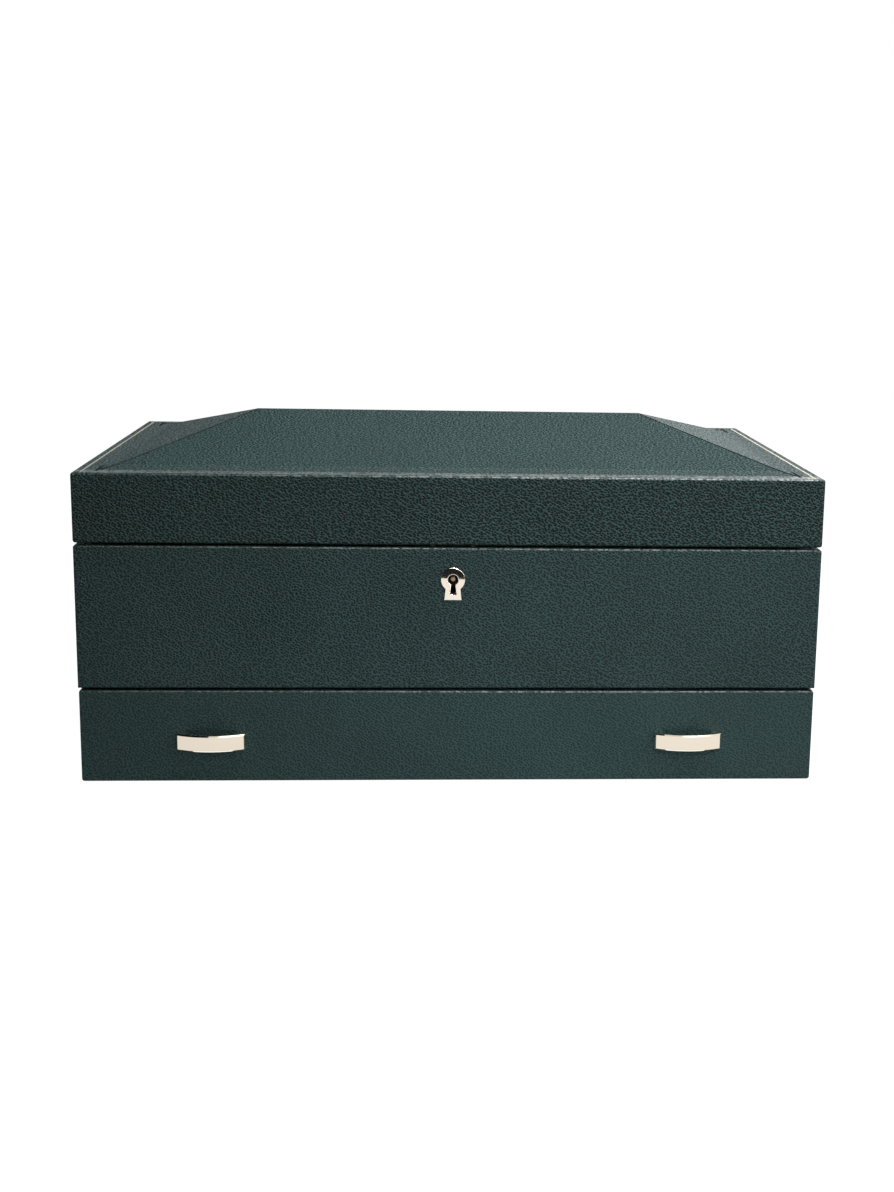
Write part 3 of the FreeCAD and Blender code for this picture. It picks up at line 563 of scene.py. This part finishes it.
def makeLidCover(settings):
    cover = copyNode("lid_leather", "lidLeatherPanels")
    near = settings["near"]
    rim = settings["rimHeight"]
    low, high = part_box("lid_leather")
    top = high[2]
    middle = (low[1] + high[1]) / 2
    baseX = high[0] - settings["rimMargin"]
    baseY = (low[1] + settings["rimMargin"], high[1] - settings["rimMargin"])
    slopeX = baseX - settings["ridgeEnd"]
    footShare = settings["footWidth"] / slopeX
    foot = min(vert.co.z for vert in cover.data.vertices
               if abs(vert.co.z - rim - settings["footRise"]) < settings["footNear"])

    def level(point, height):
        return abs(point.z - height) < near

    def onBase(point):
        inside = abs(point.x) < baseX + near and baseY[0] - near < point.y < baseY[1] + near
        return inside and level(point, rim)

    def onHip(point):
        reachX = (baseX - abs(point.x)) / slopeX
        reachY = 1.0 - abs(point.y - middle) / (baseY[1] - middle)
        surface = foot + (reachX - footShare) / (1.0 - footShare) * (top - foot)
        outside = point.z > max(surface - settings["jointReach"], rim + near)
        return outside and abs(reachX - reachY) < settings["jointShare"]

    def isHip(a, b):
        return onHip(a) and onHip(b) and abs(a.z - b.z) > settings["jointRise"]

    steps = settings["steps"]
    roundEdges(cover, lambda a, b: level(a, foot) and level(b, foot), settings["footSoft"], steps)
    roundEdges(cover, lambda a, b: onBase(a) and onBase(b), settings["rimSoft"], steps)
    roundEdges(cover, lambda a, b: level(a, top) and level(b, top), settings["ridgeSoft"], steps)
    print("hip joints", bevelEdges(cover, isHip, settings["jointWidth"] / 2, 1))
    bpy.ops.mesh.select_mode(type="FACE")
    # the joint's faces take the painted joint shade
    cover.data.materials.append(cover.data.materials[0])
    for face in bmesh.from_edit_mesh(cover.data).faces:
        if face.select:
            face.material_index = 1
    bpy.ops.mesh.inset(thickness=settings["jointWall"], use_boundary=True)
    bpy.ops.transform.translate(value=(0, 0, -settings["jointDepth"]))
    leaveEdit()
    cover.data.materials.append(cover.data.materials[0])
    # faces turned upward take the roof copy, whose colour is painted lighter
    for polygon in cover.data.polygons:
        if polygon.material_index == 0 and polygon.normal.z > settings["roofFacing"]:
            polygon.material_index = 2
    smoothStrips(cover, settings["panelWidth"])
    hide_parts("lid_leather")
    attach(cover, "lid")
    dress(cover, "lidLeather", "jointShadeLeather", "litRoofLeather")


makeLidCover(lidCover)
print("lid cover made")


# Keyhole plate: its plain face is lapped; the edges round it are a paler gold, a painted highlight

keyholePlate = {"width": 0.00022, "steps": 2, "reach": 0.0001, "panelWidth": 0.0006}


def makeKeyholePlate(settings):
    plate = copyNode("keyhole_escutcheon", "keyholePlate")
    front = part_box("keyhole_escutcheon")[0][1] + settings["reach"]
    bevelEdges(plate, lambda a, b: max(a.y, b.y) < front, settings["width"], settings["steps"], sharpAngle)
    edgeFaces = [face.index for face in bmesh.from_edit_mesh(plate.data).faces if face.select]
    leaveEdit()
    plate.data.materials.append(plate.data.materials[0])
    for index in edgeFaces:
        plate.data.polygons[index].material_index = 1
    smoothStrips(plate, settings["panelWidth"])
    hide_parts("keyhole_escutcheon")
    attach(plate, "case")
    dress(plate, "gold", "edgeHighlightGold")


makeKeyholePlate(keyholePlate)
print("keyhole plate made")


# Suede-covered boards and plain boards: the CAD form with its edges eased

easing = {"steps": 3, "stripRadii": 3}
easedBoards = {
    "bay_liner": ("bayLiner", "case", "suede_lining", "suede", 0.0006),
    "bay_long_divider": ("bayLongDivider", "case", "suede_lining", "suede", 0.0007),
    "bay_cross_dividers": ("bayCrossDividers", "case", "suede_lining", "suede", 0.0007),
    "lid_side_lining": ("lidSideLining", "lid", "suede_lining", "suede", 0.0003),
    "drawer_dividers": ("drawerDividers", "drawer", "suede_lining", "suede", 0.0006),
    "left_drawer_side": ("leftDrawerSide", "drawer", "stained_board", "woodY", 0.0005),
    "right_drawer_side": ("rightDrawerSide", "drawer", "stained_board", "woodY", 0.0005),
    "drawer_back": ("drawerBack", "drawer", "stained_board", "woodX", 0.0005),
}


def easeBoard(nodeName, pieceName, body, slotName, finish, radius):
    board = copyNode(nodeName, pieceName)
    applyModifier(board, "BEVEL", width=radius, segments=easing["steps"], limit_method="ANGLE",
                  angle_limit=sharpAngle)
    smoothStrips(board, easing["stripRadii"] * radius)
    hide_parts(nodeName)
    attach(board, body)
    dress(board, finish)


for nodeName, words in easedBoards.items():
    easeBoard(nodeName, *words)
print("boards eased")


# Screws: each head gets its slot

hingeScrewX = (-0.116, -0.103, -0.090, 0.090, 0.103, 0.116)
screwSets = {
    "case_screws": ("caseScrews", "case", [((x, 0.10545, 0.1083), "z") for x in hingeScrewX]
                    + [((x, -0.09655, 0.09415), "y") for x in (-0.0212, 0.0212)]),
    "lid_screws": ("lidScrews", "lid", [((x, 0.10545, 0.1089), "z") for x in hingeScrewX]
                   + [((x, -0.09995, 0.1091), "z") for x in (-0.0137, 0.0137)]),
    "pull_screws": ("pullScrews", "drawer", [((x, -0.09685, 0.0202), "y")
                                             for x in (-0.12025, -0.09375, 0.09375, 0.12025)]),
}
screwSlot = {
    "length": 0.0042, "width": 0.00055, "depth": 0.0006, "firstTurn": 23, "nextTurn": 47,
    "panelWidth": 0.0003,
}


def slotHeads(nodeName, pieceName, body, heads):
    screws = copyNode(nodeName, pieceName)
    cutters = []
    for count, (place, axis) in enumerate(heads):
        clearSelection()
        bpy.ops.mesh.primitive_cube_add(size=1.0, location=place)
        cutter = bpy.context.object
        cutter.scale = (screwSlot["length"], screwSlot["width"], 2 * screwSlot["depth"])
        turn = math.radians(screwSlot["firstTurn"] + screwSlot["nextTurn"] * count)
        cutter.rotation_euler = (0, 0, turn) if axis == "z" else (math.radians(90), turn, 0)
        settle(cutter)
        cutters.append(cutter)
    takeUp(cutters[0])
    for cutter in cutters:
        cutter.select_set(True)
    bpy.ops.object.join()
    cutter = bpy.context.object
    applyModifier(screws, "BOOLEAN", operation="DIFFERENCE", solver="EXACT", object=cutter)
    bpy.data.objects.remove(cutter)
    smoothStrips(screws, screwSlot["panelWidth"])
    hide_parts(nodeName)
    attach(screws, body)
    dress(screws, "brass")


for nodeName, words in screwSets.items():
    slotHeads(nodeName, *words)
print("screw heads slotted")


# Cloth under pressure from inside, its movement capped, applied to the mesh

stuffing = {"pressure": 4.0, "frames": 20, "stiffness": 12.0, "bending": 0.4}


def swell(piece, isSewn, cap, settings):
    start = [vert.co.copy() for vert in piece.data.vertices]
    sewn = piece.vertex_groups.new(name="sewn")
    sewn.add([index for index, place in enumerate(start) if isSewn(place)], 1.0, "REPLACE")
    cloth = piece.modifiers.new("Cloth", "CLOTH")
    cloth.settings.use_pressure = True
    cloth.settings.uniform_pressure_force = settings["pressure"]
    cloth.settings.tension_stiffness = settings["stiffness"]
    cloth.settings.compression_stiffness = settings["stiffness"]
    cloth.settings.bending_stiffness = settings["bending"]
    cloth.settings.vertex_group_mass = "sewn"
    cloth.settings.effector_weights.gravity = 0.0
    cloth.point_cache.frame_start = 1
    cloth.point_cache.frame_end = settings["frames"]
    scene = bpy.context.scene
    for step in range(1, settings["frames"] + 1):
        scene.frame_set(step)
    takeUp(piece)
    bpy.ops.object.modifier_apply(modifier="Cloth")
    scene.frame_set(1)
    for vert, place in zip(piece.data.vertices, start):
        moved = vert.co - place
        if moved.length > cap:
            vert.co = place + moved * (cap / moved.length)
    piece.vertex_groups.clear()


def addSolid(name, low, high):
    clearSelection()
    size = [b - a for a, b in zip(low, high)]
    bpy.ops.mesh.primitive_cube_add(size=1.0, location=[(a + b) / 2 for a, b in zip(low, high)])
    piece = bpy.context.object
    piece.name = name
    piece.data.name = name
    piece.scale = size
    settle(piece)
    return piece


# Watch cushion: a bolster whose wrap and end panels are sewn to a corded seam at each end

cushion = {
    "slack": 0.0022, "corner": 0.0175, "cornerSteps": 8, "endRound": 0.003, "endSteps": 2, "near": 0.0001,
    "voxel": 0.003, "cap": 0.0022, "seamFromEnd": 0.0042, "seamPull": 0.0007, "seamSpread": 0.0022,
    "cordRadius": 0.00085, "cordSteps": 12,
}


def seamPath(halfDeep, halfTall, radius, steps):  # rounded outline of the bolster, seen along its length
    points = []
    for quarter in range(4):
        signY = (1, -1, -1, 1)[quarter]
        signZ = (1, 1, -1, -1)[quarter]
        for step in range(steps + 1):
            angle = math.radians(90 * (quarter + step / steps))
            points.append((signY * (halfDeep - radius) + radius * math.cos(angle),
                           signZ * (halfTall - radius) + radius * math.sin(angle)))
    return points


def addCord(name, points, x, centre, radius):
    curve = bpy.data.curves.new(name, "CURVE")
    curve.dimensions = "3D"
    curve.bevel_depth = radius
    curve.bevel_resolution = 1
    spline = curve.splines.new("POLY")
    spline.points.add(len(points) - 1)
    for point, (y, z) in zip(spline.points, points):
        point.co = (centre[0] + x, centre[1] + y, centre[2] + z, 1.0)
    spline.use_cyclic_u = True
    cord = bpy.data.objects.new(name, curve)
    bpy.context.collection.objects.link(cord)
    takeUp(cord)
    bpy.ops.object.convert(target="MESH")
    return bpy.context.object


def makeCushion(settings):
    low, high = (Vector(corner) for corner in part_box("watch_cushion_01"))
    slack = Vector([settings["slack"]] * 3)
    pad = addSolid("watchCushion", low + slack, high - slack)
    centre = (low + high) / 2
    half = (high - low) / 2 - slack
    roundEdges(pad, lambda a, b: abs(a.x - b.x) > half.x, settings["corner"], settings["cornerSteps"])
    roundEdges(pad, lambda a, b: abs(a.x - b.x) < settings["near"],
               settings["endRound"], settings["endSteps"])
    applyModifier(pad, "REMESH", mode="VOXEL", voxel_size=settings["voxel"])
    seamX = half.x - settings["seamFromEnd"]
    swell(pad, lambda place: abs(abs(place.x - centre.x) - seamX) < settings["voxel"] / 2,
          settings["cap"], stuffing)
    applyModifier(pad, "SUBSURF", levels=1, render_levels=1)
    for vert in pad.data.vertices:
        fromSeam = (abs(vert.co.x - centre.x) - seamX) / settings["seamSpread"]
        pull = settings["seamPull"] * math.exp(-fromSeam * fromSeam)
        inward = Vector((0, centre.y - vert.co.y, centre.z - vert.co.z)).normalized()
        vert.co += inward * pull
        vert.co.z = max(vert.co.z, low.z)
    outline = seamPath(half.y, half.z, settings["corner"], settings["cordSteps"])
    cords = [addCord("seamCord", outline, side * seamX, centre, settings["cordRadius"]) for side in (-1, 1)]
    takeUp(pad)
    for cord in cords:
        cord.select_set(True)
    bpy.ops.object.join()
    takeUp(pad)
    bpy.ops.object.shade_smooth()
    return pad, centre


def placeCushions(settings):
    pattern, centre = makeCushion(settings)
    for name in sorted(looks["pillow"]):
        low, high = (Vector(corner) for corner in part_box(name))
        number = name[-2:]
        copy = pattern.copy()
        copy.data = pattern.data.copy()
        copy.name = copy.data.name = "watchCushion" + number
        bpy.context.collection.objects.link(copy)
        copy.location = (low + high) / 2 - centre
        settle(copy)
        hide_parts(name)
        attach(copy, "case")
        dress(copy, "pillow")
    bpy.data.objects.remove(pattern)


placeCushions(cushion)
print("cushions stuffed")


# Thin pads: glued down on one side, crowned between their creases on the other

pads = {
    "lid_lining_pad": {
        "piece": "lidPad", "body": "lid", "up": False, "cap": 0.0016, "border": 0.014, "fill": 0.5,
        "creasesX": [], "creasesY": [],
    },
    "bay_floor_pad": {
        "piece": "bayFloorPad", "body": "case", "up": True, "cap": 0.00025, "border": 0.0, "fill": 0.3,
        "creasesX": [-0.1025, -0.05125, 0.0, 0.05125, 0.1025], "creasesY": [0.00145],
    },
    "drawer_floor_pad": {
        "piece": "drawerFloorPad", "body": "drawer", "up": True, "cap": 0.0004, "border": 0.0, "fill": 0.3,
        "creasesX": [-0.0495, 0.0495], "creasesY": [],
    },
}
padCloth = {"cell": 0.006, "crease": 0.0035, "near": 0.0001}


def makePad(nodeName, settings):
    low, high = (Vector(corner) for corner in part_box(nodeName))
    if settings["up"]:  # room for the swelling, within the space of the CAD pad
        high.z -= settings["cap"]
    else:
        low.z += settings["cap"]
    free = high.z if settings["up"] else low.z
    size = high - low
    cell = padCloth["cell"]
    crease = padCloth["crease"]
    clearSelection()
    bpy.ops.mesh.primitive_grid_add(x_subdivisions=round(size.x / cell),
                                    y_subdivisions=round(size.y / cell), size=1.0,
                                    location=((low.x + high.x) / 2, (low.y + high.y) / 2, low.z))
    pad = bpy.context.object
    pad.name = pad.data.name = settings["piece"]
    pad.scale = (size.x, size.y, 1.0)
    settle(pad)
    bpy.ops.object.mode_set(mode="EDIT")
    bpy.ops.mesh.select_all(action="SELECT")
    bpy.ops.mesh.extrude_region_move(TRANSFORM_OT_translate={"value": (0, 0, size.z)})
    bpy.ops.mesh.select_all(action="SELECT")
    bpy.ops.mesh.normals_make_consistent(inside=False)
    leaveEdit()

    def isSewn(place):
        if abs(place.z - free) > padCloth["near"]:
            return True
        toEdge = min(place.x - low.x, high.x - place.x, place.y - low.y, high.y - place.y)
        if toEdge < crease or settings["border"] and abs(toEdge - settings["border"]) < crease:
            return True
        return (any(abs(place.x - line) < crease for line in settings["creasesX"])
                or any(abs(place.y - line) < crease for line in settings["creasesY"]))

    swell(pad, isSewn, settings["cap"], stuffing)
    applyModifier(pad, "SUBSURF", levels=1, render_levels=1)
    takeUp(pad)
    bpy.ops.object.shade_smooth()
    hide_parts(nodeName)
    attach(pad, settings["body"])
    dress(pad, "suede")


for nodeName, settings in pads.items():
    makePad(nodeName, settings)
print("pads made")


# Camera at the photograph's angle

camera = {
    "place": (-0.0161, -0.8385, 0.2387),
    "yaw": 4.279, "pitch": 11.709, "roll": 1.133,
    "focalPixels": 1685.7, "frameHeight": 1192, "shift": -0.078, "sensor": 36.0,
}


def makeCamera(settings):
    yaw, pitch, roll = (math.radians(settings[key]) for key in ("yaw", "pitch", "roll"))
    ahead = Vector((math.sin(yaw) * math.cos(pitch), math.cos(yaw) * math.cos(pitch), -math.sin(pitch)))
    level = Vector((math.cos(yaw), -math.sin(yaw), 0.0))
    above = level.cross(ahead)
    right = level * math.cos(roll) + above * math.sin(roll)
    top = above * math.cos(roll) - level * math.sin(roll)
    turn = Matrix((right, top, -ahead)).transposed()
    lens = bpy.data.cameras.new("camera")
    holder = bpy.data.objects.new("camera", lens)
    bpy.context.collection.objects.link(holder)
    holder.location = settings["place"]
    holder.rotation_euler = turn.to_euler()
    lens.sensor_fit = "VERTICAL"
    lens.sensor_height = settings["sensor"]
    lens.lens = settings["focalPixels"] / settings["frameHeight"] * settings["sensor"]
    lens.shift_x = settings["shift"]
    bpy.context.scene.camera = holder


makeCamera(camera)


# White floor: plain white to the camera, with part of the real shadow kept

floorSettings = {"front": -0.582, "back": 2.0, "side": 1.5, "whiteness": 0.85, "kept": 0.15, "glow": 1.17}


def makeFloor(settings):
    depth = settings["back"] - settings["front"]
    clearSelection()
    bpy.ops.mesh.primitive_plane_add(size=1.0, location=(0, settings["front"] + depth / 2, 0))
    floor = bpy.context.object
    floor.name = "floor"
    floor.scale = (2 * settings["side"], depth, 1)
    settle(floor)
    white = settings["whiteness"]
    finish = Finish("floorWhite", Base_Color=rgb(white, white, white), Roughness=1.0,
                    Specular_IOR_Level=0.0)
    seen = finish.add("ShaderNodeLightPath", out="Is Camera Ray")
    mirrored = finish.add("ShaderNodeLightPath", out="Is Glossy Ray")
    glow = finish.add("ShaderNodeEmission", {}, {"Color": rgb(1, 1, 1), "Strength": settings["glow"]})
    share = (seen + mirrored) * (1.0 - settings["kept"])
    plain = Wire(finish, finish.shader.outputs[0])
    blend = finish.add("ShaderNodeMixShader", {}, {0: share, 1: plain, 2: glow})
    finish.tree.links.new(blend.socket, finish.tree.nodes["Material Output"].inputs["Surface"])
    floor.data.materials.append(finish.material)


makeFloor(floorSettings)


# Studio: white to the camera, with four soft lights; in the leather and the gold it is brightest behind the
# box and overhead on the right, grey above, and dark behind the camera and to the left

studio = {
    "fill": 0.26, "mirror": 1.0, "dark": 0.03, "ceiling": 0.16, "horizon": 1.7, "zenith": 14.0,
    "left": 0.2, "right": 1.0, "sides": (-0.3, 0.3), "atBack": (0.3, 0.8), "atCamera": (-0.75, -0.15),
    "darkUpTo": (0.25, 0.75), "brightUpTo": (0.22, 0.46),
    "zenithFrom": (0.8, 0.95), "zenithSide": (0.0, 0.1),
}
softboxes = {
    "key": {"place": (0.55, -0.16, 0.60), "target": (0.05, -0.05, 0.1), "size": (0.45, 0.45), "watts": 4.5},
    "strip": {"place": (0.2, -0.2, 0.85), "target": (0.1, -0.1, 0.1), "size": (1.2, 0.4), "watts": 9.5},
    "side": {"place": (0.55, -0.42, 0.28), "target": (0.05, -0.1, 0.08), "size": (0.25, 0.3), "watts": 1.3},
    "front": {"place": (0.12, -0.62, 0.36), "target": (0.06, -0.107, 0.055), "size": (0.2, 0.2),
              "watts": 0.27, "spread": 50.0},
}


def makeWorld(settings):
    world = bpy.data.worlds.new("studio")
    bpy.context.scene.world = world
    world.use_nodes = True
    sky = ShaderTools(world.node_tree)
    toRight, toBack, height = sky.parts(sky.add("ShaderNodeTexCoord", out="Generated"))
    isCamera = sky.add("ShaderNodeLightPath", out="Is Camera Ray")
    isGlossy = sky.add("ShaderNodeLightPath", out="Is Glossy Ray")
    shade = sky.faded(toBack, *settings["atCamera"]) * sky.faded(height, *settings["darkUpTo"])
    horizon = 1.0 + sky.fitted(toBack, *settings["atBack"]) * (settings["horizon"] - 1.0)
    ceiling = settings["ceiling"]
    overhead = ceiling + sky.faded(height, *settings["brightUpTo"]) * (horizon - ceiling)
    level = settings["fill"] + isGlossy * (settings["mirror"] - settings["fill"])
    zenith = isGlossy * sky.fitted(height, *settings["zenithFrom"]) * settings["zenith"]
    zenith = zenith * sky.fitted(toRight, *settings["zenithSide"])
    toLeft = sky.fitted(toRight, *settings["sides"], settings["left"], settings["right"])
    lit = (level * overhead + zenith) * toLeft * (1.0 - shade * (1.0 - settings["dark"]))
    strength = isCamera + (1.0 - isCamera) * lit
    background = sky.tree.nodes["Background"]
    background.inputs["Color"].default_value = rgb(1, 1, 1)
    sky.tree.links.new(strength.socket, background.inputs["Strength"])


def makeSoftbox(name, settings):
    lamp = bpy.data.lights.new(name, "AREA")
    lamp.shape = "RECTANGLE"
    lamp.size, lamp.size_y = settings["size"]
    lamp.energy = settings["watts"]
    lamp.spread = math.radians(settings.get("spread", 180.0))
    holder = bpy.data.objects.new(name, lamp)
    bpy.context.collection.objects.link(holder)
    holder.location = settings["place"]
    aim = Vector(settings["target"]) - Vector(settings["place"])
    holder.rotation_euler = aim.to_track_quat("-Z", "Y").to_euler()


makeWorld(studio)
for name, settings in softboxes.items():
    makeSoftbox(name, settings)
bpy.context.scene.view_settings.view_transform = "Standard"
print("studio set")
